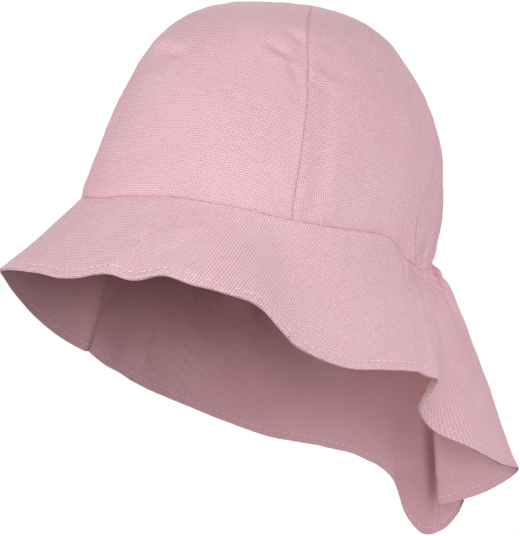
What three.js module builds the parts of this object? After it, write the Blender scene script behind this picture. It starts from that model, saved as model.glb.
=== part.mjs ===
// A child's linen sun hat as it hangs when worn: a soft panelled crown, a short brim over the face
// and a long wavy flap over the neck, drawn in by elastic at the nape. Millimetres, +Z up, the face
// looks along -Y, the wearer's left is +X, and the origin is the middle of the head opening.
// Angles are degrees round from the face, towards the wearer's left.

import * as THREE from "three";

// Head opening
const headWidth = 147;
const headLength = 174;
const wornTilt = 10;
const napeDip = 12;
const faceWave = 2.9;

// Crown
const crownHeight = 103;
const apexBack = 13;
const crownWall = 1.2;
const dentDepth = 2.2;

// Brim and neck flap
const brimReach = 38;
const brimDrop = 60;
const flapReach = 42;
const flapDrop = 130;
const skirtWall = 1.6;
const swellDepth = 12;
const leftBrimSeamAt = 113;
const rightBrimSeamAt = -108;

// Pleats drawn up by the elastic at the nape
const pleatDepth = 1.3;
const pleatPitch = 14;
const pleatCrestAt = 130;
const pleatFlare = 24;
const pleatEndUp = 0.35;
const pleatEndDown = 0.45;
const pleatsFullAt = 120;

// Clearance left in every sewn seam between two pieces
const seamGap = 0.3;

// Fineness of the faceted solids
const frontColumns = 22;
const sideColumns = 13;
const backColumns = 50;
const crownRows = 13;
const brimRows = 7;
const flapRows = 11;
const columnsPerFold = 3;

// Least degrees from a side seam to the next column of brim or flap
const columnClearance = 0.5;

// Small steps along a surface, as shares of its way and in degrees, for slopes and clearances
const slopeStep = 0.01;
const runStep = 0.02;
const tipStep = 0.0005;

// The largest value of a swell that is strongest near the head, along * (1 - along) ** 2
const swellPeak = 4 / 27;

// Crown profile from the head opening to the apex. out: share of the head opening's half width,
// up: share of the crown's height, back: share of the apex's distance behind the middle.
const crownProfile = [
  { along: 0.0, out: 1.0, up: 0.0, back: 0.0 },
  { along: 0.1, out: 1.0, up: 0.07, back: 0.12 },
  { along: 0.2, out: 0.992, up: 0.2, back: 0.33 },
  { along: 0.3, out: 0.96, up: 0.36, back: 0.48 },
  { along: 0.4, out: 0.905, up: 0.52, back: 0.52 },
  { along: 0.5, out: 0.822, up: 0.66, back: 0.43 },
  { along: 0.6, out: 0.71, up: 0.785, back: 0.34 },
  { along: 0.7, out: 0.58, up: 0.885, back: 0.38 },
  { along: 0.8, out: 0.4, up: 0.955, back: 0.62 },
  { along: 0.9, out: 0.2, up: 0.99, back: 0.82 },
  { along: 1.0, out: 0.0, up: 1.0, back: 1.0 },
];

// The seam between the front panel and a side panel, mirrored on the other side
const sideSeam = [
  { along: 0.0, at: 65 },
  { along: 0.3, at: 62 },
  { along: 0.6, at: 62.5 },
  { along: 1.0, at: 64 },
];

// The seam between a side panel and the back panel, which bows forward over the gathered nape
const napeSeam = [
  { along: 0.0, at: 118 },
  { along: 0.09, at: 115 },
  { along: 0.18, at: 112.5 },
  { along: 0.26, at: 116 },
  { along: 0.34, at: 124 },
  { along: 0.45, at: 136 },
  { along: 0.65, at: 147 },
  { along: 1.0, at: 152 },
];

// How far the head opening sinks towards the nape, as a share of the nape's dip
const napeSink = [
  { at: 0, sink: 0.0 },
  { at: 96, sink: 0.0 },
  { at: 104, sink: 0.22 },
  { at: 112, sink: 0.75 },
  { at: 119, sink: 1.0 },
  { at: 127, sink: 1.0 },
  { at: 142, sink: 0.65 },
  { at: 180, sink: 0.5 },
];

// How the head opening's seam rises and falls over the face, as a share of the face wave
const faceLift = [
  { at: -34, lift: 0 },
  { at: -22, lift: -0.14 },
  { at: -10, lift: -0.23 },
  { at: -2, lift: -0.05 },
  { at: 6, lift: 0.35 },
  { at: 14, lift: 0.7 },
  { at: 24, lift: 1 },
  { at: 30, lift: 0.93 },
  { at: 38, lift: 0.8 },
  { at: 46, lift: 0.6 },
  { at: 54, lift: 0.26 },
  { at: 62, lift: -0.16 },
  { at: 70, lift: -0.3 },
  { at: 78, lift: -0.3 },
  { at: 86, lift: -0.2 },
  { at: 94, lift: -0.07 },
  { at: 102, lift: 0 },
];

// Soft dents of the crown, and swellings where deep is below zero. at and wide: degrees,
// up and tall: shares of the way to the apex, deep: share of the dent depth.
const crownDents = [
  { at: -12, up: 0.56, deep: -0.6, wide: 15, tall: 0.06 },
  { at: -4, up: 0.49, deep: 0.7, wide: 14, tall: 0.04 },
  { at: 52, up: 0.72, deep: 0.7, wide: 12, tall: 0.05 },
  { at: 59, up: 0.58, deep: 0.6, wide: 4, tall: 0.07 },
  { at: 76, up: 0.5, deep: 0.7, wide: 8, tall: 0.05 },
  { at: 70, up: 0.26, deep: 0.5, wide: 3, tall: 0.3 },
  { at: 95, up: 0.35, deep: 0.5, wide: 8, tall: 0.3 },
  { at: 142, up: 0.18, deep: -0.3, wide: 22, tall: 0.1 },
  { at: 205, up: 0.2, deep: -0.8, wide: 28, tall: 0.12 },
  { at: 268, up: 0.38, deep: 0.6, wide: 18, tall: 0.2 },
  { at: 312, up: 0.52, deep: 0.6, wide: 10, tall: 0.07 },
];

// Folds of the brim. rim: degrees at the head opening, hem: degrees at the hem, out and down: shares
// of the brim's reach and drop, drape and curl: shares of the swell's depth, near the head and the hem.
const brimFolds = [
  { rim: -108, hem: -94, out: 0.95, down: 1.21, drape: 0.2, curl: 0 },
  { rim: -97, hem: -89, out: 0.96, down: 1.25, drape: 0.2, curl: 0 },
  { rim: -88, hem: -83, out: 0.97, down: 1.155, drape: 0.1, curl: 0 },
  { rim: -81, hem: -76.5, out: 0.93, down: 1.02, drape: 0.1, curl: 0 },
  { rim: -76, hem: -77.5, out: 0.76, down: 1.168, drape: 0.1, curl: 0 },
  { rim: -70, hem: -71, out: 0.86, down: 1.08, drape: 0.1, curl: 0 },
  { rim: -62, hem: -63, out: 0.94, down: 0.94, drape: 0.1, curl: -0.05 },
  { rim: -52, hem: -53, out: 0.97, down: 0.77, drape: -0.05, curl: -0.08 },
  { rim: -40, hem: -40, out: 0.99, down: 0.6, drape: -0.08, curl: -0.1 },
  { rim: -20, hem: -20, out: 1.02, down: 0.53, drape: -0.08, curl: -0.1 },
  { rim: -5, hem: -5, out: 1, down: 0.52, drape: 0, curl: -0.05 },
  { rim: 8, hem: 8, out: 1.02, down: 0.54, drape: 0, curl: 0 },
  { rim: 19, hem: 19, out: 0.96, down: 0.485, drape: 0, curl: 0.05 },
  { rim: 26, hem: 26, out: 1, down: 0.51, drape: 0, curl: 0 },
  { rim: 32, hem: 32, out: 0.94, down: 0.465, drape: 0, curl: 0.1 },
  { rim: 39, hem: 38.5, out: 0.95, down: 0.5, drape: 0, curl: 0.05 },
  { rim: 46, hem: 46, out: 0.92, down: 0.55, drape: 0, curl: 0.05 },
  { rim: 54, hem: 54, out: 0.87, down: 0.64, drape: -0.1, curl: 0 },
  { rim: 63, hem: 62, out: 0.86, down: 0.89, drape: -0.1, curl: 0 },
  { rim: 74, hem: 72, out: 0.84, down: 1.01, drape: 0.05, curl: 0.1 },
  { rim: 87, hem: 81, out: 0.84, down: 0.99, drape: 0.1, curl: 0.2 },
  { rim: 100, hem: 88.5, out: 0.87, down: 0.94, drape: 0.1, curl: 0.2 },
  { rim: 109, hem: 92.5, out: 0.91, down: 0.84, drape: 0.1, curl: 0.2 },
];

// Folds of the neck flap, from the wearer's left round the back, as shares of its own reach and drop
const flapFolds = [
  { rim: 115, hem: 95.5, out: 0.86, down: 0.365, drape: 0.2, curl: 0.3 },
  { rim: 119, hem: 98, out: 0.73, down: 0.382, drape: 0.3, curl: 0.45 },
  { rim: 121.5, hem: 99.5, out: 0.535, down: 0.432, drape: 0.35, curl: 0.6 },
  { rim: 124, hem: 102, out: 0.41, down: 0.478, drape: 0.35, curl: 0.65 },
  { rim: 127, hem: 107, out: 0.43, down: 0.542, drape: 0.4, curl: 0.5 },
  { rim: 131, hem: 115, out: 0.64, down: 0.605, drape: 0.4, curl: 0.3 },
  { rim: 136, hem: 126, out: 0.85, down: 0.688, drape: 0.4, curl: 0.05 },
  { rim: 142, hem: 137, out: 0.976, down: 0.742, drape: 0.35, curl: 0 },
  { rim: 147, hem: 147, out: 0.64, down: 0.836, drape: 0.3, curl: 0 },
  { rim: 152, hem: 157, out: 0.2, down: 0.9, drape: 0.1, curl: 0 },
  { rim: 157, hem: 167, out: 0.58, down: 0.9, drape: 0.1, curl: 0 },
  { rim: 162, hem: 175, out: 0.88, down: 0.93, drape: 0.3, curl: 0 },
  { rim: 168, hem: 180, out: 0.99, down: 0.99, drape: 0.4, curl: 0 },
  { rim: 175, hem: 184.5, out: 0.96, down: 1.05, drape: 0.4, curl: 0 },
  { rim: 183, hem: 190, out: 0.97, down: 1.072, drape: 0.3, curl: 0 },
  { rim: 190, hem: 194.5, out: 0.95, down: 1.01, drape: 0.2, curl: 0 },
  { rim: 198, hem: 198.5, out: 0.93, down: 0.87, drape: 0.2, curl: 0 },
  { rim: 208, hem: 207, out: 0.9, down: 0.8, drape: 0.2, curl: 0 },
  { rim: 218, hem: 216, out: 0.9, down: 0.772, drape: 0.3, curl: 0 },
  { rim: 228, hem: 225, out: 0.9, down: 0.741, drape: 0.2, curl: 0 },
  { rim: 238, hem: 236, out: 0.88, down: 0.696, drape: 0.2, curl: 0 },
  { rim: 246, hem: 252, out: 0.87, down: 0.62, drape: 0.2, curl: 0 },
];

const halfWidth = headWidth / 2;
const halfLength = headLength / 2;
const tilt = THREE.MathUtils.degToRad(wornTilt);
const levelHalfLength = halfLength * Math.cos(tilt);

// Smooth curve through one column of a table, whose key column grows from row to row
function follow(rows, key, at, column) {
  let i = 0;
  while (i < rows.length - 2 && at > rows[i + 1][key]) i += 1;
  const span = rows[i + 1][key] - rows[i][key];
  const s = THREE.MathUtils.clamp((at - rows[i][key]) / span, 0, 1);
  const slope = (j) => {
    const before = rows[Math.max(j - 1, 0)];
    const after = rows[Math.min(j + 1, rows.length - 1)];
    return (after[column] - before[column]) / (after[key] - before[key]);
  };
  const s2 = s * s;
  const s3 = s2 * s;
  return (
    (2 * s3 - 3 * s2 + 1) * rows[i][column] +
    (s3 - 2 * s2 + s) * span * slope(i) +
    (3 * s2 - 2 * s3) * rows[i + 1][column] +
    (s3 - s2) * span * slope(i + 1)
  );
}

// Degrees from -180 to 180
function wrap(degrees) {
  return THREE.MathUtils.euclideanModulo(degrees + 180, 360) - 180;
}

// The hat is worn with its face side raised
function tilted(x, y, z) {
  return new THREE.Vector3(
    x,
    y * Math.cos(tilt) + z * Math.sin(tilt),
    z * Math.cos(tilt) - y * Math.sin(tilt),
  );
}

// How far the head opening's seam rises over the face
function faceRise(degrees) {
  return faceWave * follow(faceLift, "at", wrap(degrees), "lift");
}

// Height of the head opening's seam above its level part
function seamHeight(degrees) {
  return faceRise(degrees) - napeDip * follow(napeSink, "at", Math.abs(wrap(degrees)), "sink");
}

// Push outward of the pleats at the nape's seam
function pleat(degrees) {
  const share = follow(napeSink, "at", Math.min(Math.abs(wrap(degrees)), pleatsFullAt), "sink");
  return pleatDepth * share * Math.cos((2 * Math.PI * (degrees - pleatCrestAt)) / pleatPitch);
}

// A point of the crown's outer face: along runs from 0 at the head opening to 1 at the apex
function crownPoint(degrees, along) {
  const out = follow(crownProfile, "along", along, "out");
  const up = follow(crownProfile, "along", along, "up");
  const back = follow(crownProfile, "along", along, "back");
  let push = pleat(degrees) * Math.max(0, 1 - along / pleatEndUp) ** 2;
  for (const dent of crownDents) {
    const aside = wrap(degrees - dent.at) / dent.wide;
    const above = (along - dent.up) / dent.tall;
    push -= dentDepth * dent.deep * Math.exp(-(aside ** 2) - above ** 2);
  }
  const low = seamHeight(degrees);
  const angle = THREE.MathUtils.degToRad(degrees);
  return tilted(
    (halfWidth + push) * out * Math.sin(angle),
    -(halfLength + push) * out * Math.cos(angle) + apexBack * back,
    low + (crownHeight - low) * up + push * (1 - out),
  );
}

// The folds of brim and flap as one ring in millimetres, so that both meet in their side seams
const ring = [
  ...brimFolds.map((row) => ({ ...row, out: row.out * brimReach, down: row.down * brimDrop })),
  ...flapFolds.map((row) => ({ ...row, out: row.out * flapReach, down: row.down * flapDrop })),
];
const turned = (row, by) => ({ ...row, rim: row.rim + by, hem: row.hem + by });
const folds = [turned(ring.at(-1), -360), ...ring, turned(ring[0], 360), turned(ring[1], 360)];

// A point of the outer face of brim and flap: along runs from 0 at the head opening to 1 at the hem
function skirtPoint(degrees, along) {
  const fold = (column) => follow(folds, "rim", degrees, column);
  const angle = THREE.MathUtils.degToRad(degrees);
  const hemAngle = THREE.MathUtils.degToRad(fold("hem"));
  const top = tilted(
    halfWidth * Math.sin(angle),
    -halfLength * Math.cos(angle),
    seamHeight(degrees),
  );
  const hem = new THREE.Vector3(
    (halfWidth + fold("out")) * Math.sin(hemAngle),
    -(levelHalfLength + fold("out")) * Math.cos(hemAngle),
    top.z - faceRise(degrees) * Math.cos(tilt) - fold("down"),
  );
  const left = 1 - along;
  const depth = (swellDepth / swellPeak) * along * left;
  const swell = depth * (fold("drape") * left + fold("curl") * along);
  const pleats = (1 + pleatFlare * along) * Math.max(0, 1 - along / pleatEndDown) ** 2;
  const outward = new THREE.Vector3(hem.x, hem.y, 0).normalize();
  return top.lerp(hem, along).addScaledVector(outward, swell + pleat(degrees) * pleats);
}

// Outward direction of a surface given as a function of degrees round and share along
function facing(surface, degrees, along, turns) {
  const middle = THREE.MathUtils.clamp(along, slopeStep, 1 - slopeStep);
  const round = surface(degrees + slopeStep, middle).sub(surface(degrees - slopeStep, middle));
  const up = surface(degrees, middle + slopeStep).sub(surface(degrees, middle - slopeStep));
  return round.normalize().cross(up.normalize()).multiplyScalar(turns).normalize();
}

// A closed cloth wall from rows of [degrees, along] on a surface, set inward by its thickness.
// A last row of one place closes the wall in a tip.
function clothWall(surface, places, wall, turns) {
  const positions = [];
  const add = (point) => positions.push(point.x, point.y, point.z) / 3 - 1;
  const outer = places.map((row) => row.map(([degrees, along]) => add(surface(degrees, along))));
  const inner = places.map((row) =>
    row.map(([degrees, along]) => {
      const inward = facing(surface, degrees, along, turns).multiplyScalar(-wall);
      return add(surface(degrees, along).add(inward));
    }),
  );
  const index = [];
  const face = (a, b, c) => (turns > 0 ? index.push(a, b, c) : index.push(a, c, b));
  const quad = (a, b, c, d) => {
    if (a !== b) face(a, b, c);
    if (c !== d) face(a, c, d);
  };
  const pick = (row, i) => row[Math.min(i, row.length - 1)];
  const last = places.length - 1;
  const columns = places[0].length - 1;
  for (let r = 0; r < last; r += 1) {
    for (let i = 0; i < columns; i += 1) {
      quad(outer[r][i], outer[r][i + 1], pick(outer[r + 1], i + 1), pick(outer[r + 1], i));
      quad(inner[r][i + 1], inner[r][i], pick(inner[r + 1], i), pick(inner[r + 1], i + 1));
    }
    quad(inner[r][0], outer[r][0], outer[r + 1][0], inner[r + 1][0]);
    quad(outer[r].at(-1), inner[r].at(-1), inner[r + 1].at(-1), outer[r + 1].at(-1));
  }
  for (let i = 0; i < columns; i += 1) {
    quad(inner[0][i], inner[0][i + 1], outer[0][i + 1], outer[0][i]);
    if (places[last].length > 1) {
      quad(outer[last][i], outer[last][i + 1], inner[last][i + 1], inner[last][i]);
    }
  }
  const geometry = new THREE.BufferGeometry();
  geometry.setAttribute("position", new THREE.Float32BufferAttribute(positions, 3));
  geometry.setIndex(index);
  geometry.computeVertexNormals();
  return geometry;
}

// Half a seam's clearance in degrees, from how far the surface runs in one degree
function halfGap(surface, degrees, along) {
  const run = surface(degrees + runStep, along).distanceTo(surface(degrees - runStep, along));
  return (seamGap * runStep) / run;
}

// One crown panel between two seams, given as degrees along the way to the apex, ending in a tip there
function crownPanel(from, to, columns) {
  const apex = crownPoint(0, 1);
  const middle = (along) => (from(along) + to(along)) / 2;
  const tipDistance = seamGap / 2 / Math.sin(THREE.MathUtils.degToRad((to(1) - from(1)) / 2));
  let tipAlong = 1;
  while (crownPoint(middle(1), tipAlong).distanceTo(apex) < tipDistance) tipAlong -= tipStep;
  const places = [];
  for (let r = 0; r < crownRows; r += 1) {
    const along = THREE.MathUtils.lerp(seamGap / 2 / crownHeight, tipAlong, r / crownRows);
    const start = from(along) + halfGap(crownPoint, from(along), along);
    const end = to(along) - halfGap(crownPoint, to(along), along);
    const row = [];
    for (let i = 0; i <= columns; i += 1) {
      row.push([THREE.MathUtils.lerp(start, end, i / columns), along]);
    }
    places.push(row);
  }
  places.push([[middle(1), tipAlong]]);
  return clothWall(crownPoint, places, crownWall, 1);
}

// Brim or flap between its two side seams, with its columns on the folds and between them
function skirtPanel(from, to, drop, rowCount) {
  const columns = [from];
  for (let i = 0; i < folds.length - 1; i += 1) {
    for (let k = 0; k < columnsPerFold; k += 1) {
      const degrees = THREE.MathUtils.lerp(folds[i].rim, folds[i + 1].rim, k / columnsPerFold);
      if (degrees - from > columnClearance && to - degrees > columnClearance) columns.push(degrees);
    }
  }
  columns.push(to);
  const places = [];
  for (let r = 0; r <= rowCount; r += 1) {
    const along = Math.max(r / rowCount, seamGap / 2 / drop);
    const row = columns.map((degrees) => [degrees, along]);
    row[0][0] += halfGap(skirtPoint, from, along);
    row.at(-1)[0] -= halfGap(skirtPoint, to, along);
    places.push(row);
  }
  return clothWall(skirtPoint, places, skirtWall, -1);
}

const linen = { color: 0xdfb6c0, roughness: 0.92, metalness: 0 };
const hat = new THREE.Group();

function addPiece(name, geometry) {
  const piece = new THREE.Mesh(geometry, new THREE.MeshStandardMaterial(linen));
  piece.name = name;
  hat.add(piece);
}

const leftSideSeam = (along) => follow(sideSeam, "along", along, "at");
const rightSideSeam = (along) => -leftSideSeam(along);
const leftNapeSeam = (along) => follow(napeSeam, "along", along, "at");
const rightNapeSeam = (along) => -leftNapeSeam(along);
const rightNapeSeamRound = (along) => 360 - leftNapeSeam(along);

addPiece("crown_front_panel", crownPanel(rightSideSeam, leftSideSeam, frontColumns));
addPiece("crown_left_panel", crownPanel(leftSideSeam, leftNapeSeam, sideColumns));
addPiece("crown_right_panel", crownPanel(rightNapeSeam, rightSideSeam, sideColumns));
addPiece("crown_back_panel", crownPanel(leftNapeSeam, rightNapeSeamRound, backColumns));
addPiece("brim_front", skirtPanel(rightBrimSeamAt, leftBrimSeamAt, brimDrop, brimRows));
addPiece("neck_flap", skirtPanel(leftBrimSeamAt, 360 + rightBrimSeamAt, flapDrop, flapRows));

export default hat;
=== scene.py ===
# %% [markdown]
# # A child's linen sun hat
# The hat has a crown of four panels, a short brim and a long wavy neck flap. Each cut of cloth is
# its own piece here, because each has its own grain, seams and hem.
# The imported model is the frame. It says where every piece goes, in metres, with +Z up and the face
# looking along -Y. The origin is the middle of the head opening.

# %%  Load the frame
import math

import bpy
import numpy as np
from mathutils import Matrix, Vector


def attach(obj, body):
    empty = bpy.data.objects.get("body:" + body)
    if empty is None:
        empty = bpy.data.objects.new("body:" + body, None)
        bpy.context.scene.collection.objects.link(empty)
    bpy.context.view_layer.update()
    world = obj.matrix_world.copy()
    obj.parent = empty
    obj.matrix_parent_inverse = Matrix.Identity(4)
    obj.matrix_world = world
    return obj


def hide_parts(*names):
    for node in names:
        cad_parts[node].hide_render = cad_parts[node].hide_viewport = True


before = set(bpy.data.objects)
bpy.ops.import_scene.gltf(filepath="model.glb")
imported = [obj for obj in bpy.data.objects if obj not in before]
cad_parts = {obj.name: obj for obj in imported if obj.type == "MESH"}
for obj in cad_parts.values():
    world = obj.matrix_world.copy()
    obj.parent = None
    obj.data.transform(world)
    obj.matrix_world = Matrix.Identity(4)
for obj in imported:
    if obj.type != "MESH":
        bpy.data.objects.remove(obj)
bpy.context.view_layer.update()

# %% [markdown]
# ## Sizes of the hat
# The cloth follows the same sizes as the CAD pieces that it covers, so each sheet lies within a
# millimetre or two of its CAD wall. Angles go round from the face, towards the wearer's left.

# %%  Named sizes, in millimetres and degrees
head_width = 147
head_length = 174
worn_tilt = math.radians(10)
nape_dip = 12
face_wave = 2.9
crown_height = 103
apex_back = 13
crown_wall = 1.0
dent_depth = 2.2
brim_reach = 38
brim_drop = 60
flap_reach = 42
flap_drop = 130
skirt_wall = 1.6
swell_depth = 12
left_brim_seam = 113
right_brim_seam = -108
gathers_full_at = 120
pleat_depth = 1.3
pleat_pitch = 14
pleat_crest_at = 130
pleat_flare = 24
crown_pleats_end = 0.35
skirt_pleats_end = 0.45
hem_stitch_in = 4.7
seam_roll = 0.28
pressed_seam_roll = 0.1
mm = 0.001

# Share of the way to the apex, and there the share of the half width, height and distance back
crown_profile = [
    (0.0, 1.0, 0.0, 0.0),
    (0.1, 1.0, 0.07, 0.12),
    (0.2, 0.992, 0.2, 0.33),
    (0.3, 0.96, 0.36, 0.48),
    (0.4, 0.905, 0.52, 0.52),
    (0.5, 0.822, 0.66, 0.43),
    (0.6, 0.71, 0.785, 0.34),
    (0.7, 0.58, 0.885, 0.38),
    (0.8, 0.4, 0.955, 0.62),
    (0.9, 0.2, 0.99, 0.82),
    (1.0, 0.0, 1.0, 1.0),
]

# Share of the way to the apex, and the degrees where a crown seam runs there
side_seam = [(0.0, 65), (0.3, 62), (0.6, 62.5), (1.0, 64)]
nape_seam = [
    (0.0, 118),
    (0.09, 115),
    (0.18, 112.5),
    (0.26, 116),
    (0.34, 124),
    (0.45, 136),
    (0.65, 147),
    (1.0, 152),
]

# Degrees from the face, and the share of the nape's dip there
nape_sink = [
    (0, 0.0),
    (96, 0.0),
    (104, 0.22),
    (112, 0.75),
    (119, 1.0),
    (127, 1.0),
    (142, 0.65),
    (180, 0.5),
]

# Degrees from the face, and the share of the face wave by which the seam rises there
face_lift = [
    (-34, 0),
    (-22, -0.14),
    (-10, -0.23),
    (-2, -0.05),
    (6, 0.35),
    (14, 0.7),
    (24, 1),
    (30, 0.93),
    (38, 0.8),
    (46, 0.6),
    (54, 0.26),
    (62, -0.16),
    (70, -0.3),
    (78, -0.3),
    (86, -0.2),
    (94, -0.07),
    (102, 0),
]

# Degrees, share of the way up, share of the dent depth, and how wide and tall the soft dent is
crown_dents = [
    (-12, 0.56, -0.6, 15, 0.06),
    (-4, 0.49, 0.7, 14, 0.04),
    (52, 0.72, 0.7, 12, 0.05),
    (59, 0.58, 0.6, 4, 0.07),
    (76, 0.5, 0.7, 8, 0.05),
    (70, 0.26, 0.5, 3, 0.3),
    (95, 0.35, 0.5, 8, 0.3),
    (142, 0.18, -0.3, 22, 0.1),
    (205, 0.2, -0.8, 28, 0.12),
    (268, 0.38, 0.6, 18, 0.2),
    (312, 0.52, 0.6, 10, 0.07),
]

# Degrees at the head and at the hem, shares of reach and drop, and swell near the head and the hem
brim_folds = [
    (-108, -94, 0.95, 1.21, 0.2, 0),
    (-97, -89, 0.96, 1.25, 0.2, 0),
    (-88, -83, 0.97, 1.155, 0.1, 0),
    (-81, -76.5, 0.93, 1.02, 0.1, 0),
    (-76, -77.5, 0.76, 1.168, 0.1, 0),
    (-70, -71, 0.86, 1.08, 0.1, 0),
    (-62, -63, 0.94, 0.94, 0.1, -0.05),
    (-52, -53, 0.97, 0.77, -0.05, -0.08),
    (-40, -40, 0.99, 0.6, -0.08, -0.1),
    (-20, -20, 1.02, 0.53, -0.08, -0.1),
    (-5, -5, 1, 0.52, 0, -0.05),
    (8, 8, 1.02, 0.54, 0, 0),
    (19, 19, 0.96, 0.485, 0, 0.05),
    (26, 26, 1, 0.51, 0, 0),
    (32, 32, 0.94, 0.465, 0, 0.1),
    (39, 38.5, 0.95, 0.5, 0, 0.05),
    (46, 46, 0.92, 0.55, 0, 0.05),
    (54, 54, 0.87, 0.64, -0.1, 0),
    (63, 62, 0.86, 0.89, -0.1, 0),
    (74, 72, 0.84, 1.01, 0.05, 0.1),
    (87, 81, 0.84, 0.99, 0.1, 0.2),
    (100, 88.5, 0.87, 0.94, 0.1, 0.2),
    (109, 92.5, 0.91, 0.84, 0.1, 0.2),
]
flap_folds = [
    (115, 95.5, 0.86, 0.365, 0.2, 0.3),
    (119, 98, 0.73, 0.382, 0.3, 0.45),
    (121.5, 99.5, 0.535, 0.432, 0.35, 0.6),
    (124, 102, 0.41, 0.478, 0.35, 0.65),
    (127, 107, 0.43, 0.542, 0.4, 0.5),
    (131, 115, 0.64, 0.605, 0.4, 0.3),
    (136, 126, 0.85, 0.688, 0.4, 0.05),
    (142, 137, 0.976, 0.742, 0.35, 0),
    (147, 147, 0.64, 0.836, 0.3, 0),
    (152, 157, 0.2, 0.9, 0.1, 0),
    (157, 167, 0.58, 0.9, 0.1, 0),
    (162, 175, 0.88, 0.93, 0.3, 0),
    (168, 180, 0.99, 0.99, 0.4, 0),
    (175, 184.5, 0.96, 1.05, 0.4, 0),
    (183, 190, 0.97, 1.072, 0.3, 0),
    (190, 194.5, 0.95, 1.01, 0.2, 0),
    (198, 198.5, 0.93, 0.87, 0.2, 0),
    (208, 207, 0.9, 0.8, 0.2, 0),
    (218, 216, 0.9, 0.772, 0.3, 0),
    (228, 225, 0.9, 0.741, 0.2, 0),
    (238, 236, 0.88, 0.696, 0.2, 0),
    (246, 252, 0.87, 0.62, 0.2, 0),
]
print(len(crown_dents), "soft dents,", len(brim_folds) + len(flap_folds), "fold lines")

# %% [markdown]
# ## The forms as functions
# A sewn shape is easiest to control as a function of two numbers: degrees round the head, and the
# share of the way from the head opening. A smooth curve runs through each column of a table, so a
# few rows make a soft form. Sewn neighbours are two stretches of one form, so they meet exactly.


# %%  A smooth curve through a column of a table
def follow(rows, at, column):
    """A smooth curve through one column of a table, read at values of its first column."""
    table = np.array(rows, float)
    keys, values = table[:, 0], table[:, column]
    at = np.asarray(at, float)
    i = np.searchsorted(keys[1:-1], at, side="left")
    last = len(keys) - 1

    def slope(j):
        before, after = np.maximum(j - 1, 0), np.minimum(j + 1, last)
        return (values[after] - values[before]) / (keys[after] - keys[before])

    span = keys[i + 1] - keys[i]
    s = np.clip((at - keys[i]) / span, 0, 1)
    start = (2 * s**3 - 3 * s**2 + 1) * values[i] + (s**3 - 2 * s**2 + s) * span * slope(i)
    end = (3 * s**2 - 2 * s**3) * values[i + 1] + (s**3 - s**2) * span * slope(i + 1)
    return start + end


def wrap(degrees):
    return np.mod(np.asarray(degrees, float) + 180, 360) - 180


print("crown seam half way up:", round(float(follow(side_seam, 0.5, 1)), 2), "degrees")


# %%  The crown and the skirt of brim and flap
def tilted(x, y, z):
    lift, level = math.sin(worn_tilt), math.cos(worn_tilt)
    return np.stack([x, y * level + z * lift, z * level - y * lift], -1)


def face_rise(degrees):
    return face_wave * follow(face_lift, wrap(degrees), 1)


def seam_height(degrees):
    return face_rise(degrees) - nape_dip * follow(nape_sink, np.abs(wrap(degrees)), 1)


def gathered(degrees):
    """Share of the nape gathers: none over the face, all of them round the back."""
    return follow(nape_sink, np.minimum(np.abs(wrap(degrees)), gathers_full_at), 1)


def pleat(degrees):
    phase = 2 * np.pi * (np.abs(wrap(degrees)) - pleat_crest_at) / pleat_pitch
    return pleat_depth * gathered(degrees) * np.cos(phase)


def crown_form(degrees, along):
    out, up, back = (follow(crown_profile, along, c) for c in (1, 2, 3))
    push = pleat(degrees) * np.maximum(0, 1 - along / crown_pleats_end) ** 2
    for at, height, deep, wide, tall in crown_dents:
        aside, above = wrap(degrees - at) / wide, (along - height) / tall
        push = push - dent_depth * deep * np.exp(-(aside**2) - above**2)
    low, angle = seam_height(degrees), np.radians(degrees)
    x = (head_width / 2 + push) * out * np.sin(angle)
    y = -(head_length / 2 + push) * out * np.cos(angle) + apex_back * back
    return tilted(x, y, low + (crown_height - low) * up + push * (1 - out)) * mm


brim_ring = [(a, b, o * brim_reach, d * brim_drop, p, q) for a, b, o, d, p, q in brim_folds]
flap_ring = [(a, b, o * flap_reach, d * flap_drop, p, q) for a, b, o, d, p, q in flap_folds]
ring = brim_ring + flap_ring
turned = [(a + 360, b + 360, *rest) for a, b, *rest in ring[:2]]
folds = [(ring[-1][0] - 360, ring[-1][1] - 360, *ring[-1][2:])] + ring + turned

# A swell follows along * (1 - along) ** 2, which is 4 / 27 at most
swell_peak = 27 / 4


def skirt_form(degrees, along):
    hem_at, out, down, drape, curl = (follow(folds, degrees, c) for c in (1, 2, 3, 4, 5))
    angle, hem_angle = np.radians(degrees), np.radians(hem_at)
    half_width, half_length = head_width / 2, head_length / 2
    top = tilted(half_width * np.sin(angle), -half_length * np.cos(angle), seam_height(degrees))
    level_length = half_length * math.cos(worn_tilt)
    hem_x = (half_width + out) * np.sin(hem_angle)
    hem_y = -(level_length + out) * np.cos(hem_angle)
    hem_z = top[..., 2] - face_rise(degrees) * math.cos(worn_tilt) - down
    hem = np.stack([hem_x, hem_y, hem_z], -1)
    left = 1 - along
    swell = swell_depth * swell_peak * along * left * (drape * left + curl * along)
    fade = np.maximum(0, 1 - along / skirt_pleats_end) ** 2
    lift = swell + pleat(degrees) * (1 + pleat_flare * along) * fade
    outward = np.stack([hem_x, hem_y, 0 * hem_x], -1)
    outward /= np.linalg.norm(outward, axis=-1, keepdims=True)
    share = np.asarray(along)[..., None]
    return (top * (1 - share) + hem * share + outward * lift[..., None]) * mm


for name, form in [("crown", crown_form), ("skirt", skirt_form)]:
    round_it, down_it = np.meshgrid(np.linspace(0, 360, 181), np.linspace(0, 1, 41))
    places = form(round_it, down_it).reshape(-1, 3)
    print(name, "spans", np.round(places.max(0) - places.min(0), 4), "m")

# %% [markdown]
# ## A sheet of cloth
# Real cloth has two faces and a turned edge. A sheet starts as two flat grids, one for each face.
# Their points move onto the form, and the outermost rows and columns roll over the edge until the
# two faces meet. The grids are then joined and their shared edge is merged, which closes the sheet.
# At a hem the edge sinks between the two layers, as a turned and pressed hem does.


# %%  Where the rows of a sheet lie near an edge
close_rows = np.array([0.35, 0.8, 1.4, 2.1, 3.0])


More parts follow.
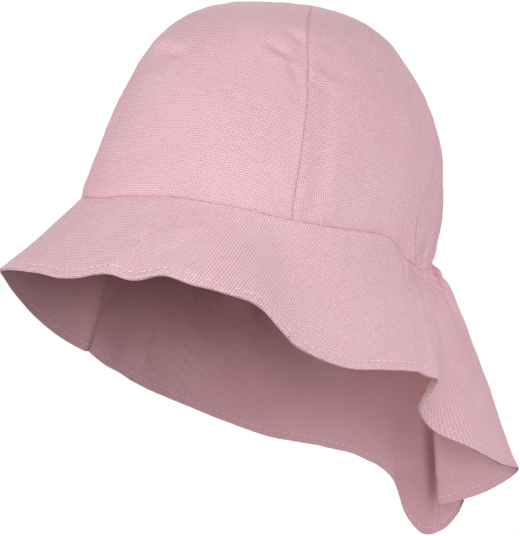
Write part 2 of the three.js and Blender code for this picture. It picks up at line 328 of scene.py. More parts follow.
def seam_edge(wall, roll=seam_roll):
    """Distances from a seam and depths below the face: straight down, a small roll, close rows."""
    turn = np.radians([0, 30, 60, 90])
    distance = np.append(0, roll * (1 - np.cos(turn)))
    depth = np.append(wall / 2, roll * (1 - np.sin(turn)))
    more = distance[-1] + close_rows
    return np.append(distance, more), np.append(depth, more * 0)


def pressed_seam_edge(wall):
    """The same for a seam that is pressed nearly flat."""
    return seam_edge(wall, pressed_seam_roll)


def hem_edge(wall):
    """The same for a hem, whose edge sinks between its two layers."""
    distance = np.array([0.75, 0.3, 0.08, 0.0, 0.05, 0.22, 0.5, 0.9, 1.5, 2.2, 3.0])
    depth = wall * np.array([0.5, 0.46, 0.36, 0.24, 0.12, 0.03, 0, 0, 0, 0, 0])
    return distance, depth


def open_edge(wall):
    """The same for the apex, where the panels end in one point."""
    return np.array([0.0]), np.array([0.0])


print("a seam's roll takes", np.round(seam_edge(crown_wall)[0][:5], 2), "mm")


# %%  Rows and columns of a sheet in distances from its edges
def spread(length, pitch, first, last):
    """Distance from the first edge and depth for each row, and how many rows keep to each edge."""
    start, start_depth = first
    end, end_depth = last
    inner = np.linspace(start[-1], length - end[-1], round((length - start[-1]) / pitch))[1:-1]
    distance = np.concatenate([start, inner, (length - end)[::-1]])
    depth = np.concatenate([start_depth, inner * 0, end_depth[::-1]])
    return distance, depth, len(start), len(end)


# Where a panel is narrower than this, in millimetres, the rows beside its edges draw together
narrow_from = 16


def cloth_places(form, seam_from, seam_to, wall, edges, pitch, width, length):
    """Grids of degrees, shares along and depths below the face, for one stretch of a form."""
    down = spread(length, pitch, edges["head"](wall), edges["far"](wall))
    across = spread(width, pitch, edges["side"](wall), edges["side"](wall))
    probe = np.linspace(0, 1, 201)
    middle = (seam_from(0.5) + seam_to(0.5)) / 2
    steps = np.linalg.norm(np.diff(form(middle + 0 * probe, probe), axis=0), axis=1)
    walked = np.append(0, np.cumsum(steps))
    along = np.interp(down[0] / length, walked / walked[-1], probe)
    a, b = seam_from(along), seam_to(along)
    tiny = 0.01
    at_a = np.linalg.norm(form(a + tiny, along) - form(a, along), axis=1) / tiny / mm
    at_b = np.linalg.norm(form(b, along) - form(b - tiny, along), axis=1) / tiny / mm
    n_start, n_end = across[2], across[3]
    room = np.clip((b - a) * np.minimum(at_a, at_b) / narrow_from, 1e-4, 1)[:, None]
    at_a, at_b = np.maximum(at_a, 1e-3)[:, None], np.maximum(at_b, 1e-3)[:, None]
    left = a[:, None] + across[0][:n_start][None] * room / at_a
    right = b[:, None] - (width - across[0][-n_end:])[None] * room / at_b
    share = across[0][n_start:-n_end] - across[0][n_start - 1]
    share = share / (across[0][-n_end] - across[0][n_start - 1])
    inner = left[:, -1:] + (right[:, :1] - left[:, -1:]) * share[None]
    degrees = np.concatenate([left, inner, right], 1)
    along = np.repeat(along[:, None], degrees.shape[1], 1)
    depth = np.maximum(down[1][:, None], across[1][None] * room)
    return degrees, along, depth


def lengths_over(places):
    """How far each point is from the first and last column, in millimetres along the cloth."""
    steps = np.linalg.norm(np.diff(places, axis=1), axis=2) / mm
    start = np.concatenate([steps[:, :1] * 0, np.cumsum(steps, 1)], 1)
    return start, start[:, -1:] - start


def form_normals(form, degrees, along):
    """Directions square to a form, the same on both sides of a seam."""
    turn, step = 0.4, 0.004
    around = form(degrees + turn, along) - form(degrees - turn, along)
    low, high = np.clip(along - step, 0, 1), np.clip(along + step, 0, 1)
    square = np.cross(around, form(degrees, low) - form(degrees, high))
    return square / np.linalg.norm(square, axis=2, keepdims=True)


def outward(places, side):
    """Unit normals of a grid of points. At a pole, they are the mean of the row beside it."""
    normal = np.cross(np.gradient(places, axis=1), np.gradient(places, axis=0)) * side
    size = np.linalg.norm(normal, axis=2, keepdims=True)
    normal = normal / np.maximum(size, 1e-15)
    pole = size[..., 0] < 1e-13
    if pole.any():
        normal[pole] = normal[-2].mean(0) / np.linalg.norm(normal[-2].mean(0))
    return normal


# %% [markdown]
# ## Creases, puckers and gathers
# Linen keeps small creases, and a seam that is sewn tighter than the cloth puckers beside it. Each
# is a small push along the normal. Waves with seeded directions make the soft unevenness, and a
# few creases lie along chosen lines. Where cloth is sewn down, the pushes fade out, so neighbours
# still meet.


# %%  Small pushes along the normal, in millimetres
pucker_lengths = (4.3, 5.9, 7.7, 11.3)
pucker_reach = 4
seam_hold = 1.6


def soft_waves(u, v, wavelength, seed, count=9):
    """Waves in seeded directions, added up."""
    rng = np.random.default_rng(seed)
    total = 0 * u
    for _ in range(count):
        turn, phase = rng.uniform(0, np.pi), rng.uniform(0, 2 * np.pi)
        length = wavelength * rng.uniform(0.7, 1.5)
        total = total + np.sin(
            2 * np.pi * (u * math.cos(turn) + v * math.sin(turn)) / length + phase
        )
    return total / math.sqrt(count)


def unevenness(u, v, waves, seed):
    """waves holds (height, wavelength) pairs, each with a seed of its own."""
    return sum(h * soft_waves(u, v, length, seed + i) for i, (h, length) in enumerate(waves))


def pucker(walk, seed):
    """A mixed wave along a line of stitches."""
    rng = np.random.default_rng(seed)
    total = 0 * walk
    for length in pucker_lengths:
        total = total + np.sin(2 * np.pi * walk / length + rng.uniform(0, 6.28))
    return total / 2


def seam_pucker(height, walk, from_seam, seed):
    return height * pucker(walk, seed) * np.exp(-from_seam / pucker_reach)


def nape_gathers(degrees, walk, away, depth, step, sway, reach, seed):
    """Small tucks that start at the nape seam and fade over a reach."""
    phase = walk * 2 * np.pi / step + soft_waves(walk, away, sway, seed)
    return depth * gathered(degrees) * np.cos(phase) * np.exp(-away / reach)


def crease(places, form, fold_line):
    """A crease along the straight way between two places of a form, fainter at its ends."""
    start, end, wide, high = fold_line
    a, b = form(*map(np.array, start)), form(*map(np.array, end))
    part = np.clip((places - a) @ (b - a) / ((b - a) @ (b - a)), 0, 1)
    off = np.linalg.norm(places - a - part[..., None] * (b - a), axis=2) / mm
    return high * np.exp(-((off / wide) ** 2)) * (0.35 + 0.65 * np.sin(np.pi * part) ** 0.7)


def bump_between(x, low, high, soft):
    rise = 1 / (1 + np.exp(-(x - low) / soft))
    return rise / (1 + np.exp((x - high) / soft))


def ridge(distance, width):
    """One where a distance is nothing, and fading beside it."""
    return np.exp(-((distance / width) ** 2))


def held_at_seams(push, *distances):
    for distance in distances:
        push = push * (1 - ridge(distance, seam_hold))
    return push


print("a wave's usual height is", round(float(soft_waves(*np.mgrid[0:90, 0:90], 20, 1).std()), 2))

# %% [markdown]
# ## Making a sheet in Blender
# A grid primitive brings its points and a UV map in one step. The points are placed in one call,
# and the UV map is set to the cloth's own millimetres, so the weave keeps its size and runs along
# the grain. Named marks go on the points too, so the material knows a seam, a hem or the inside.


# %%  From places to a closed sheet
def face_grid(name, places, grain, marks):
    bpy.ops.object.select_all(action="DESELECT")
    rows, columns = places.shape[:2]
    bpy.ops.mesh.primitive_grid_add(x_subdivisions=columns - 1, y_subdivisions=rows - 1, size=2)
    grid = bpy.context.object
    grid.name = name
    mesh = grid.data
    flat = np.empty(len(mesh.vertices) * 3)
    mesh.vertices.foreach_get("co", flat)
    flat = flat.reshape(-1, 3)
    column = np.round((flat[:, 0] + 1) / 2 * (columns - 1)).astype(int)
    row = np.round((flat[:, 1] + 1) / 2 * (rows - 1)).astype(int)
    mesh.vertices.foreach_set("co", places[row, column].ravel())
    corner = np.empty(len(mesh.loops), int)
    mesh.loops.foreach_get("vertex_index", corner)
    mesh.uv_layers[0].data.foreach_set("uv", grain[row, column][corner].ravel())
    for mark, values in marks.items():
        layer = mesh.attributes.new(mark, "FLOAT", "POINT")
        layer.data.foreach_set("value", np.clip(values, 0, 1)[row, column].astype(np.float32))
    return grid


# The weave of the inner layer doesn't lie exactly behind that of the outer one
inner_weave_shift = 0.5


def closed_sheet(name, outer, inner, grain, outer_marks, inner_marks, flip_outer):
    faces = [
        face_grid(name, outer, grain, outer_marks),
        face_grid(name + "_back", inner, grain + inner_weave_shift * mm, inner_marks),
    ]
    bpy.ops.object.select_all(action="DESELECT")
    turned_face = faces[0] if flip_outer else faces[1]
    turned_face.select_set(True)
    bpy.context.view_layer.objects.active = turned_face
    bpy.ops.object.mode_set(mode="EDIT")
    bpy.ops.mesh.select_all(action="SELECT")
    bpy.ops.mesh.flip_normals()
    bpy.ops.object.mode_set(mode="OBJECT")
    for face in faces:
        face.select_set(True)
    bpy.context.view_layer.objects.active = faces[0]
    bpy.ops.object.join()
    bpy.ops.object.mode_set(mode="EDIT")
    bpy.ops.mesh.select_all(action="SELECT")
    bpy.ops.mesh.remove_doubles(threshold=1e-6)
    bpy.ops.object.mode_set(mode="OBJECT")
    bpy.ops.object.shade_smooth()
    sheet = faces[0]
    sheet.name = sheet.data.name = name
    triangles = sum(len(p.vertices) - 2 for p in sheet.data.polygons)
    print(name, triangles, "triangles")
    return sheet


# %% [markdown]
# ## The linen
# The real cloth is a dusty pink plain weave with about one thread a millimetre and soft slubs.
# Two sine waves across each other give the round threads, and the sign of their product says which
# thread lies on top; a little of that sign goes into the colour as painted shade, which differs
# between the two kinds of crossing. Long thin noise along each thread makes the slubs, and a wide
# noise makes the washed unevenness. Cloth is a little paler where a hem is worn, and darker in a
# seam. The inside is tinted duller and darker as painted shade, fully in the crown and fading down
# the brim and flap towards the hem, and three deep folds have a darker painted shade still. Crown,
# brim and flap each have their own pitch and strength of weave, because cloth shows less of its
# weave where it hangs loose.


# %%  Helpers for shader nodes
def add_node(tree, kind, **settings):
    node = tree.nodes.new(kind)
    for key, value in settings.items():
        setattr(node, key, value)
    return node


def math_node(tree, operation, a, b=None, c=None):
    node = add_node(tree, "ShaderNodeMath", operation=operation)
    for socket, value in zip(node.inputs, (a, b, c)):
        if value is None:
            continue
        if isinstance(value, (int, float)):
            socket.default_value = value
        else:
            tree.links.new(value, socket)
    return node.outputs[0]


def mapped(tree, source, scale):
    node = add_node(tree, "ShaderNodeMapping")
    node.inputs["Scale"].default_value = scale
    tree.links.new(source, node.inputs["Vector"])
    return node.outputs[0]


def noise(tree, source, scale, detail=2.0):
    node = add_node(tree, "ShaderNodeTexNoise")
    node.inputs["Scale"].default_value = scale
    node.inputs["Detail"].default_value = detail
    tree.links.new(source, node.inputs["Vector"])
    return node.outputs["Fac"]


def attribute(tree, name):
    return add_node(tree, "ShaderNodeAttribute", attribute_name=name).outputs["Fac"]


def add_up(tree, start, parts):
    """start plus each value times its share."""
    total = start
    for value, share in parts:
        total = math_node(tree, "MULTIPLY_ADD", value, share, total)
    return total


def colour_ramp(tree, value, first, last, between=()):
    """A ramp whose stops are (position, colour)."""
    ramp = add_node(tree, "ShaderNodeValToRGB")
    for element, (position, colour) in zip(ramp.color_ramp.elements, (first, last)):
        element.position = position
        element.color = colour
    for position, colour in between:
        ramp.color_ramp.elements.new(position).color = colour
    tree.links.new(value, ramp.inputs[0])
    return ramp.outputs[0]


def tinted(tree, colour, tint, share):
    """A colour multiplied by a tint, as far as its share says."""
    mix = add_node(tree, "ShaderNodeMix", data_type="RGBA", blend_type="MULTIPLY")
    mix.inputs[7].default_value = tint
    tree.links.new(share, mix.inputs[0])
    tree.links.new(colour, mix.inputs[6])
    return mix.outputs[2]


def fine_bump(tree, shader, height, strength, distance):
    bump = add_node(tree, "ShaderNodeBump")
    bump.inputs["Strength"].default_value = strength
    bump.inputs["Distance"].default_value = distance * mm
    tree.links.new(height, bump.inputs["Height"])
    tree.links.new(bump.outputs[0], shader.inputs["Normal"])


def new_material(name, sockets):
    """A material whose numbers that are the same all over are set on the shader's sockets."""
    material = bpy.data.materials.new(name)
    material.use_nodes = True
    shader = material.node_tree.nodes["Principled BSDF"]
    for socket, value in sockets.items():
        shader.inputs[socket].default_value = value
    return material, material.node_tree, shader


# %%  The linen material
linen_finish = {
    "Sheen Weight": 0.25,
    "Sheen Roughness": 0.45,
    "Sheen Tint": (1.0, 0.8, 0.84, 1),
    "Specular IOR Level": 0.25,
}
pore_tone = (0.0, (0.3, 0.09, 0.115, 1))
cloth_tone = (0.55, (0.75, 0.44, 0.5, 1))
thread_top_tone = (1.0, (0.95, 0.69, 0.75, 1))
# Painted shade: the inner faces are tinted darker and duller
painted_inside_shade_tint = (0.72, 0.52, 0.45, 1)
# Painted shade: a darker, redder tint for three deep folds
painted_fold_shade_tint = (0.42, 0.28, 0.27, 1)
usual_tone = 0.48
pore_level = 0.62

# Marks a metre: where threads wander, along a slub, and in the washed unevenness
wander_scale = 40
slub_scale = 190
wash_scale = 22.0


def linen_material(name, weave, thread_pitch):
    material, tree, shader = new_material(name, linen_finish)
    uv = add_node(tree, "ShaderNodeUVMap").outputs[0]
    per_thread = 1 / (thread_pitch * mm)

    # Threads: one wave each way, which wanders a little
    threads = add_node(tree, "ShaderNodeSeparateXYZ")
    tree.links.new(mapped(tree, uv, (per_thread, per_thread, 1)), threads.inputs[0])
    wide = mapped(tree, uv, (wander_scale, wander_scale, 1))
    waves = []
    for axis, scale in enumerate((1.0, 1.7)):
        shift = math_node(tree, "SUBTRACT", noise(tree, wide, scale), 0.5)
        at = math_node(tree, "ADD", threads.outputs[axis], shift)
        waves.append(math_node(tree, "SINE", math_node(tree, "MULTIPLY", at, math.pi)))
    warp, weft = waves

    # Height: the upper one of two threads, and pores where both are low
    over = math_node(tree, "MULTIPLY", warp, weft)
    warp_high = math_node(tree, "MULTIPLY_ADD", over, 0.5, math_node(tree, "ABSOLUTE", warp))
    weft_high = math_node(tree, "MULTIPLY_ADD", over, -0.5, math_node(tree, "ABSOLUTE", weft))
    height = math_node(tree, "MAXIMUM", warp_high, weft_high)
    pore = math_node(tree, "MAXIMUM", math_node(tree, "SUBTRACT", pore_level, height), 0.0)

    # Slubs along whichever thread is on top, fine grain, and the washed unevenness
    warp_slub = noise(tree, mapped(tree, uv, (per_thread * 1.1, slub_scale, 1)), 1.0, 2)
    weft_slub = noise(tree, mapped(tree, uv, (slub_scale, per_thread * 1.1, 1)), 1.0, 2)
    slub_mix = add_node(tree, "ShaderNodeMix", data_type="FLOAT")
    tree.links.new(math_node(tree, "MULTIPLY_ADD", over, 0.5, 0.5), slub_mix.inputs[0])
    tree.links.new(weft_slub, slub_mix.inputs[2])
    tree.links.new(warp_slub, slub_mix.inputs[3])
    slub = slub_mix.outputs[0]
    grain = noise(tree, mapped(tree, uv, (per_thread * 1.3, per_thread * 1.3, 1)), 1.0, 1)
    washed = noise(tree, add_node(tree, "ShaderNodeTexCoord").outputs["Object"], wash_scale, 3)

    # Tone: the weave, fainter inside, then wash, seams and worn hems
    # The over term is painted shade: warp-over and weft-over crossings differ slightly in tone
    parts = [(slub, 0.9), (grain, 0.9), (over, 0.1), (height, 0.35), (pore, -4.2)]
    woven = add_up(tree, -1.0, parts)
    inner = attribute(tree, "inner_face_and_shade")
    shown = math_node(tree, "MAXIMUM", math_node(tree, "MULTIPLY_ADD", inner, -6.0, 1.0), 0.16)
    contrast = math_node(tree, "MULTIPLY", shown, weave)
    tone = math_node(tree, "MULTIPLY_ADD", woven, contrast, usual_tone)
    seam, worn = attribute(tree, "close_to_seam"), attribute(tree, "worn_edge")
    tone = add_up(tree, tone, [(washed, 0.2), (seam, -0.1), (worn, 0.14)])

    colour = colour_ramp(tree, tone, pore_tone, thread_top_tone, [cloth_tone])
    # Painted shade: the inner faces are tinted darker, as far as their mark says
    colour = tinted(tree, colour, painted_inside_shade_tint, inner)
    # Painted shade: three deep folds are tinted darker and redder
    colour = tinted(tree, colour, painted_fold_shade_tint, attribute(tree, "painted_fold_shade"))
    tree.links.new(colour, shader.inputs["Base Color"])
    rough = math_node(tree, "MULTIPLY_ADD", height, -0.06, 0.97)
    tree.links.new(rough, shader.inputs["Roughness"])
    relief = math_node(tree, "MULTIPLY_ADD", slub, 0.4, height)
    fine_bump(tree, shader, relief, strength=0.55, distance=0.12)
    return material


crown_linen = linen_material("crown_linen", weave=0.42, thread_pitch=1.05)
brim_linen = linen_material("brim_linen", weave=0.58, thread_pitch=0.95)
flap_linen = linen_material("flap_linen", weave=0.28, thread_pitch=0.86)
print("linen has", len(crown_linen.node_tree.nodes), "nodes")


# %% [markdown]
# ## The crown
# The crown is sewn from a wide front panel, two side panels and a back panel, which meet in one
# point at the top. Each panel rolls into its seams. The front panel has a raised roll beside the
# side seams, and the back panel is gathered at the nape. A dozen creases are pressed in, as in a
# hat that was packed flat.


# %%  Folds pressed into the crown: start, end, half width and height in millimetres
crown_creases = [
    ((-11.5, 0.525), (7.5, 0.497), 2.4, -1.3),
    ((-14, 0.55), (4, 0.535), 3.0, 1.0),
    ((-20, 0.59), (-12, 0.63), 7.0, 0.8),
    ((46, 0.57), (56, 0.535), 2.2, -1.2),
    ((44, 0.545), (53, 0.51), 2.4, 0.9),
    ((52.5, 0.631), (63.5, 0.6), 2.2, -1.2),
    ((55, 0.513), (58, 0.456), 2.2, -1.0),
    ((63, 0.469), (71.5, 0.438), 2.6, -1.4),
    ((62, 0.495), (73, 0.465), 2.8, 1.0),
    ((64.5, 0.37), (71, 0.07), 2.6, -0.65),
    ((71, 0.4), (77, 0.09), 3.2, 0.65),
    ((83, 0.33), (86, 0.12), 4.0, -0.45),
]


# %%  One crown panel
panel_length = 152
crown_row_pitch = 1.25
crown_waves = [(0.26, 34), (0.1, 11)]


def crown_sheet(name, node, seam_from, seam_to, width, raised_roll, seed):
    edges = {"head": seam_edge, "far": open_edge, "side": seam_edge}
    degrees, along, depth = cloth_places(
        crown_form, seam_from, seam_to, crown_wall, edges, crown_row_pitch, width, panel_length
    )
    places = crown_form(degrees, along)
    normal = outward(places, 1)
    from_start, from_end = lengths_over(places)
    from_side = np.minimum(from_start, from_end)
    up = lengths_over(places.transpose(1, 0, 2))[0].T
    walk = (from_start - from_end) / 2
    push = unevenness(walk, up, crown_waves, seed)
    push = push + seam_pucker(0.05, up, from_side, seed + 2)
    push = push + seam_pucker(0.1, walk, up, seed + 3)
    push = push + 0.3 * bump_between(up, low=1.5, high=7.0, soft=1.0)
    for fold_line in crown_creases:
        push = push + crease(places, crown_form, fold_line)
    if raised_roll:
        push = push + 0.14 * bump_between(from_side, low=0.6, high=2.0, soft=0.25)
    push = push + nape_gathers(
        degrees, walk, up, depth=0.5, step=7.3, sway=25, reach=9, seed=seed
    )
    push = held_at_seams(push, from_side, up)
    push[-1] = push[-1].mean()
    lift = (push * mm)[..., None]
    deep = (depth * mm)[..., None]
    outer = places + normal * (lift - deep)
    inner = places + normal * (lift - crown_wall * mm + deep)
    grain = np.stack([walk, up], -1) * mm
    close = ridge(from_side, 0.8) + ridge(up, 1.0)
    marks = {"close_to_seam": close, "worn_edge": 0 * close, "painted_fold_shade": 0 * close}
    outer_marks = {**marks, "inner_face_and_shade": 0 * close}
    # The crown's inner face has the full painted shade
    inner_marks = {**marks, "inner_face_and_shade": 0 * close + 1}
    panel = closed_sheet(name, outer, inner, grain, outer_marks, inner_marks, False)
    panel.data.materials.append(crown_linen)
    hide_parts(node)
    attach(panel, "root")


# %%  The four panels between their seams
def left_side(along):
    return follow(side_seam, along, 1)


def right_side(along):
    return -left_side(along)


def left_nape(along):
    return follow(nape_seam, along, 1)


def right_nape(along):
    return -left_nape(along)


def far_nape(along):
    """The right nape seam again, counted on round the back."""
    return 360 - left_nape(along)


# Name, node, first and last seam, width in millimetres, whether it has a raised roll, and seed
crown_panels = [
    ("crown_front_cloth", "crown_front_panel", right_side, left_side, 186, True, 11),
    ("crown_left_cloth", "crown_left_panel", left_side, left_nape, 92, False, 21),
    ("crown_right_cloth", "crown_right_panel", right_nape, right_side, 92, False, 31),
    ("crown_back_cloth", "crown_back_panel", left_nape, far_nape, 180, False, 41),
]
for crown_panel in crown_panels:
    crown_sheet(*crown_panel)

# %% [markdown]
# ## Topstitching
# A row of small stitches holds the turned hem, nearly five millimetres from the edge, and shows on
# both faces. One stitch is modelled as a short rounded thread. Its mesh is then repeated along the
# row, each copy turned to the cloth, and a whole row is one piece.


# %%  The thread
thread_finish = {"Sheen Weight": 0.15, "Sheen Roughness": 0.4, "Roughness": 0.7}
ply_shade = (0.3, (0.8, 0.57, 0.62, 1))
ply_light = (0.7, (0.95, 0.8, 0.84, 1))
ply_scale = 2600.0


def thread_material(name):
    material, tree, shader = new_material(name, thread_finish)
    place = add_node(tree, "ShaderNodeTexCoord").outputs["Object"]
    plies = noise(tree, place, ply_scale, 1)
    colour = colour_ramp(tree, plies, ply_shade, ply_light)
    tree.links.new(colour, shader.inputs["Base Color"])
    fine_bump(tree, shader, plies, strength=0.4, distance=0.05)
    return material


thread = thread_material("pale_pink_thread")


# %%  One stitch, and a row of them
stitch_length = 2.3
stitch_step = 3.3
stitch_thick = 0.27
stitch_flatness = 0.7


def one_stitch():
    bpy.ops.object.select_all(action="DESELECT")
    bpy.ops.mesh.primitive_uv_sphere_add(segments=8, ring_count=6, radius=1)
    ball = bpy.context.object
    points = np.empty(len(ball.data.vertices) * 3)
    ball.data.vertices.foreach_get("co", points)
    points = points.reshape(-1, 3)[:, [2, 0, 1]]
    points[:, 0] = np.sign(points[:, 0]) * np.abs(points[:, 0]) ** 0.6
    half = [stitch_length / 2, stitch_thick, stitch_thick * stitch_flatness]
    points = points * np.array(half) * mm
    corners = [[v for v in p.vertices] for p in ball.data.polygons]
    bpy.data.objects.remove(ball)
    return points, corners


def at_level(grid, distance, level):
    """The line through a grid where a distance, which falls from row to row, has one value."""
    line = np.empty((grid.shape[1], 3))
    for column in range(grid.shape[1]):
        falling = distance[::-1, column]
        for axis in range(3):
            line[column, axis] = np.interp(level, falling, grid[::-1, column, axis])
    return line


def part_way(at, walked, line):
    return np.array([np.interp(at, walked, line[:, axis]) for axis in range(3)])


def stitch_row(name, lines, material):
    """lines holds (points, normals, lift) of each row of stitches, the lift in stitch widths."""
    points, corners = one_stitch()
    all_points, all_corners = [], []
    rng = np.random.default_rng(7)
    for line, normals, lift in lines:
        walked = np.append(0, np.cumsum(np.linalg.norm(np.diff(line, axis=0), axis=1)))
        count = int(walked[-1] / (stitch_step * mm))
        for k in range(count):
            at = (k + 0.5 + rng.uniform(-0.05, 0.05)) * stitch_step * mm
            middle = part_way(at, walked, line)
            up = part_way(at, walked, normals)
            ends = [part_way(at + side * mm, walked, line) for side in (-0.6, 0.6)]
            run = (ends[1] - ends[0]) / np.linalg.norm(ends[1] - ends[0])
            up = up - run * (up @ run)
            up = up / np.linalg.norm(up)
            basis = np.stack([run, np.cross(up, run), up])
            first = sum(len(p) for p in all_points)
            all_points.append(points @ basis + middle + up * stitch_thick * lift * mm)
            all_corners += [[first + v for v in face] for face in corners]
    mesh = bpy.data.meshes.new(name)
    mesh.from_pydata(np.concatenate(all_points).tolist(), [], all_corners)
    row = bpy.data.objects.new(name, mesh)
    bpy.context.scene.collection.objects.link(row)
    bpy.ops.object.select_all(action="DESELECT")
    row.select_set(True)
    bpy.context.view_layer.objects.active = row
    bpy.ops.object.shade_smooth()
    row.data.materials.append(material)
    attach(row, "root")
    print(name, len(all_points), "stitches")
    return row


# %% [markdown]
# ## Brim and neck flap
# Brim and flap are double, turned and topstitched at the hem, and sewn to each other at the sides.
# The cut of the brim is a wide ring, so its threads run on the bias at the sides. The flap is cut
# flatter, so its threads stay nearly level. Their side seams are pressed nearly flat, and hide in
# the cloth.


# %%  Folds in the skirt: start, end, half width and height in millimetres
skirt_creases = [
    ((-84.5, 0.5), (-77, 1.0), 3.4, -2.0),
    ((-91, 0.45), (-86, 0.95), 4.6, 1.8),
    ((142, 0.03), (134, 0.17), 3.0, -2.0),
    ((174.4, 0.5), (177, 0.97), 2.8, 3.4),
]


# %% Painted shade deep in folds: start, end, half width and strength
inner_painted_shades = [
    ((174.9, 0.58), (176.5, 0.88), 2.8, 0.62),
    ((-91, 0.4), (-86, 0.8), 6.0, 0.15),
]
outer_painted_shades = [((144, 0.0), (133, 0.19), 3.2, 0.6)]


# %%  One stretch of the skirt
skirt_row_pitch = 1.3
skirt_waves = [(0.3, 38), (0.12, 12)]
rim_reach = 2.5
# How far the painted shade of the inner face fades from the head seam to the hem
inside_shade_fade_at_hem = 0.8


def skirt_sheet(name, node, start, end, width, length, cut_radius, material, seed):
    edges = {"head": seam_edge, "far": hem_edge, "side": pressed_seam_edge}
    degrees, along, depth = cloth_places(
        skirt_form,
        lambda a: start + 0 * a,
        lambda a: end + 0 * a,
        skirt_wall,
        edges,
        skirt_row_pitch,
        width,
        length,
    )
    places = skirt_form(degrees, along)
    normal = form_normals(skirt_form, degrees, along)
    normal = normal * np.sign((normal * outward(places, -1)).sum())
    from_start, from_end = lengths_over(places)
    from_side = np.minimum(from_start, from_end)
    down, from_hem = (x.T for x in lengths_over(places.transpose(1, 0, 2)))
    walk = from_start - from_start[:, -1:] / 2

    # Waves, puckers, tucks and folds, then the seam, the pressed hem and its stitch line
    push = unevenness(walk, down, skirt_waves, seed)
    push = push + seam_pucker(0.16, walk, down, seed + 3)
    push = push + seam_pucker(0.08, down, from_side, seed + 4)
    push = push + nape_gathers(
        degrees, walk, down, depth=0.9, step=8.3, sway=40, reach=14, seed=seed
    )
    for fold_line in skirt_creases:
        push = push + crease(places, skirt_form, fold_line)
    push = held_at_seams(push, from_side, down)
    push = push - 0.1 * ridge(down, 1.2)
    push = push - 0.2 * ridge(from_hem - hem_stitch_in, 0.7)
    wave = 0.1 * pucker(walk, seed + 2) * (1 - ridge(from_side, 3))
    push = push + wave * ridge(from_hem - 3, 4)

    # Beside the head the sheet leans as the crown does, so that their rims meet
    rim_normal = form_normals(crown_form, degrees[:1], 0 * degrees[:1])[0]
    rim_normal = rim_normal * np.sign((rim_normal * normal[0]).sum())
    blend = ridge(down, rim_reach)[..., None]
    normal = normal * (1 - blend) + rim_normal[None] * blend
    normal /= np.linalg.norm(normal, axis=2, keepdims=True)
    lift = (push * mm)[..., None]
    deep = (depth * mm)[..., None]
    outer = places + normal * (lift - deep)
    inner = places + normal * (lift - skirt_wall * mm + deep)

    # The grain runs as on a ring that was cut flat
    turn = walk[0] / cut_radius
    spoke = cut_radius + down - length / 2
    grain = np.stack([spoke * np.sin(turn)[None], -spoke * np.cos(turn)[None]], -1) * mm
    close = 0.3 * ridge(from_side, 0.8) + ridge(down, 1.0)
    close = close + 0.4 * ridge(from_hem - hem_stitch_in, 0.6)
    marks = {"close_to_seam": close, "worn_edge": ridge(from_hem, 0.9)}
    outer_marks = {
        **marks,
        "inner_face_and_shade": 0 * close,
        # Painted shade in the pocket under the nape
        "painted_fold_shade": sum(crease(places, skirt_form, line) for line in outer_painted_shades),
    }
    inner_marks = {
        **marks,
        # Painted shade on the inner face: full at the head seam, a fifth of it at the hem
        "inner_face_and_shade": 1 - inside_shade_fade_at_hem * down / (down + from_hem),
        # Painted shade deep in two folds of the inside
        "painted_fold_shade": sum(crease(places, skirt_form, line) for line in inner_painted_shades),
    }
    sheet = closed_sheet(name, outer, inner, grain, outer_marks, inner_marks, True)
    sheet.data.materials.append(material)

    # One row of stitches on each face
    up_there = at_level(normal, from_hem, hem_stitch_in)
    rows = [
        (at_level(outer, from_hem, hem_stitch_in), up_there, 0.25),
        (at_level(inner, from_hem, hem_stitch_in), -up_there, -0.42),
    ]
    stitches = stitch_row(name.replace("cloth", "hem_stitches"), rows, thread)
    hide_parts(node)
    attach(sheet, "root")


skirt_sheet(
    "brim_cloth",
    "brim_front",
    start=right_brim_seam,
    end=left_brim_seam,
    width=345,
    length=70,
    cut_radius=200,
    material=brim_linen,
    seed=51,
)
skirt_sheet(
    "flap_cloth",
    "neck_flap",
    start=left_brim_seam,
    end=360 + right_brim_seam,
    width=400,
    length=118,
    cut_radius=420,
    material=flap_linen,
    seed=61,
)

# %% [markdown]
# ## Setting, light and camera
# The hat hangs free over a pale floor, as a worn hat does. The camera sees floor and world as
# plain white, but they light the hat only a little, or the inside would be too bright. A large
# soft lamp stands in front of the face, one fills the wearer's left side and one lights the back.
# Two small lamps beside the camera reach under the brim.


# %%  White for the camera, darker as a source of light
white_strength = 1.02


def white_to_camera(tree, kind, lit, output):
    """Mix a white shader of a kind over another one, for rays from the camera only."""
    white = add_node(tree, kind)
    white.inputs["Color"].default_value = (1, 1, 1, 1)
    white.inputs["Strength"].default_value = white_strength
    ray = add_node(tree, "ShaderNodeLightPath")
    either = add_node(tree, "ShaderNodeMixShader")
    tree.links.new(ray.outputs["Is Camera Ray"], either.inputs[0])
    tree.links.new(lit, either.inputs[1])
    tree.links.new(white.outputs[0], either.inputs[2])
    tree.links.new(either.outputs[0], tree.nodes[output].inputs["Surface"])


# %%  Floor
floor_height = -0.6
floor_size = 30
bpy.ops.object.select_all(action="DESELECT")
bpy.ops.mesh.primitive_plane_add(size=floor_size, location=(0, 0, floor_height))
floor = bpy.context.object
floor.name = "floor"
paint, paint_tree, grey = new_material(
    "pale_floor", {"Base Color": (0.2, 0.2, 0.2, 1), "Roughness": 0.9}
)
white_to_camera(paint_tree, "ShaderNodeEmission", grey.outputs[0], "Material Output")
floor.data.materials.append(paint)
print("floor at", floor.location.z, "m")

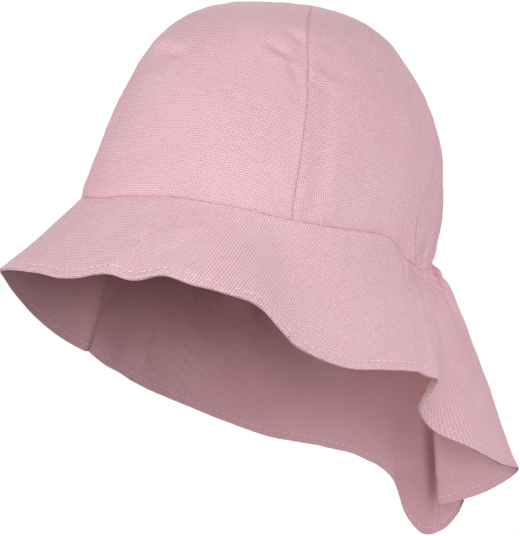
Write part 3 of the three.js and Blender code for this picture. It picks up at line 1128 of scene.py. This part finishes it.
# %%  World and lamps
world = bpy.data.worlds.new("studio")
bpy.context.scene.world = world
world.use_nodes = True
sky = world.node_tree.nodes["Background"]
sky.inputs["Color"].default_value = (1, 0.985, 0.98, 1)
sky.inputs["Strength"].default_value = 0.09
white_to_camera(world.node_tree, "ShaderNodeBackground", sky.outputs[0], "World Output")


def direction(azimuth, elevation):
    a, e = math.radians(azimuth), math.radians(elevation)
    return Vector((math.sin(a) * math.cos(e), -math.cos(a) * math.cos(e), math.sin(e)))


def soft_lamp(name, azimuth, elevation, distance, size, power):
    bpy.ops.object.select_all(action="DESELECT")
    bpy.ops.object.light_add(type="AREA", location=direction(azimuth, elevation) * distance)
    lamp = bpy.context.object
    lamp.name = name
    lamp.data.size = size
    lamp.data.energy = power
    lamp.rotation_euler = (-direction(azimuth, elevation)).to_track_quat("-Z", "Y").to_euler()
    return lamp


# Degrees round from the face, degrees up, metres away, metres across and watts
lamps = [
    soft_lamp("key_lamp", -4, 15, 1.9, 1.3, 31),
    soft_lamp("front_lamp", 56, 8, 1.9, 0.3, 5.2),
    soft_lamp("low_lamp", 70, 2, 1.9, 0.3, 3.8),
    soft_lamp("fill_lamp", 118, 16, 2.0, 1.4, 27),
    soft_lamp("back_lamp", 232, 30, 2.2, 1.5, 21),
]
print("lamps:", [(lamp.name, lamp.data.energy) for lamp in lamps])

# %%  Camera
camera_azimuth = 50
camera_elevation = 4
camera_distance = 1.6
image_height = 0.24815
sensor = 36
aim_right, aim_up = 0.00093, -0.0213
view_from = direction(camera_azimuth, camera_elevation)
bpy.ops.object.camera_add(location=view_from * camera_distance)
camera = bpy.context.object
turned_by = math.radians(camera_azimuth)
across = Vector((math.cos(turned_by), math.sin(turned_by), 0))
upward = view_from.cross(across)
aim = across * aim_right + upward * aim_up
camera.rotation_mode = "QUATERNION"
camera.rotation_quaternion = (aim - camera.location).to_track_quat("-Z", "Y")
camera.data.sensor_width = sensor
camera.data.lens = sensor * camera_distance / image_height
camera.data.clip_start = 0.05
camera.data.clip_end = 60
scene = bpy.context.scene
scene.camera = camera
scene.view_settings.view_transform = "Standard"
scene.view_settings.look = "None"
print("lens", round(camera.data.lens, 1), "mm, up is", [round(x, 2) for x in upward])
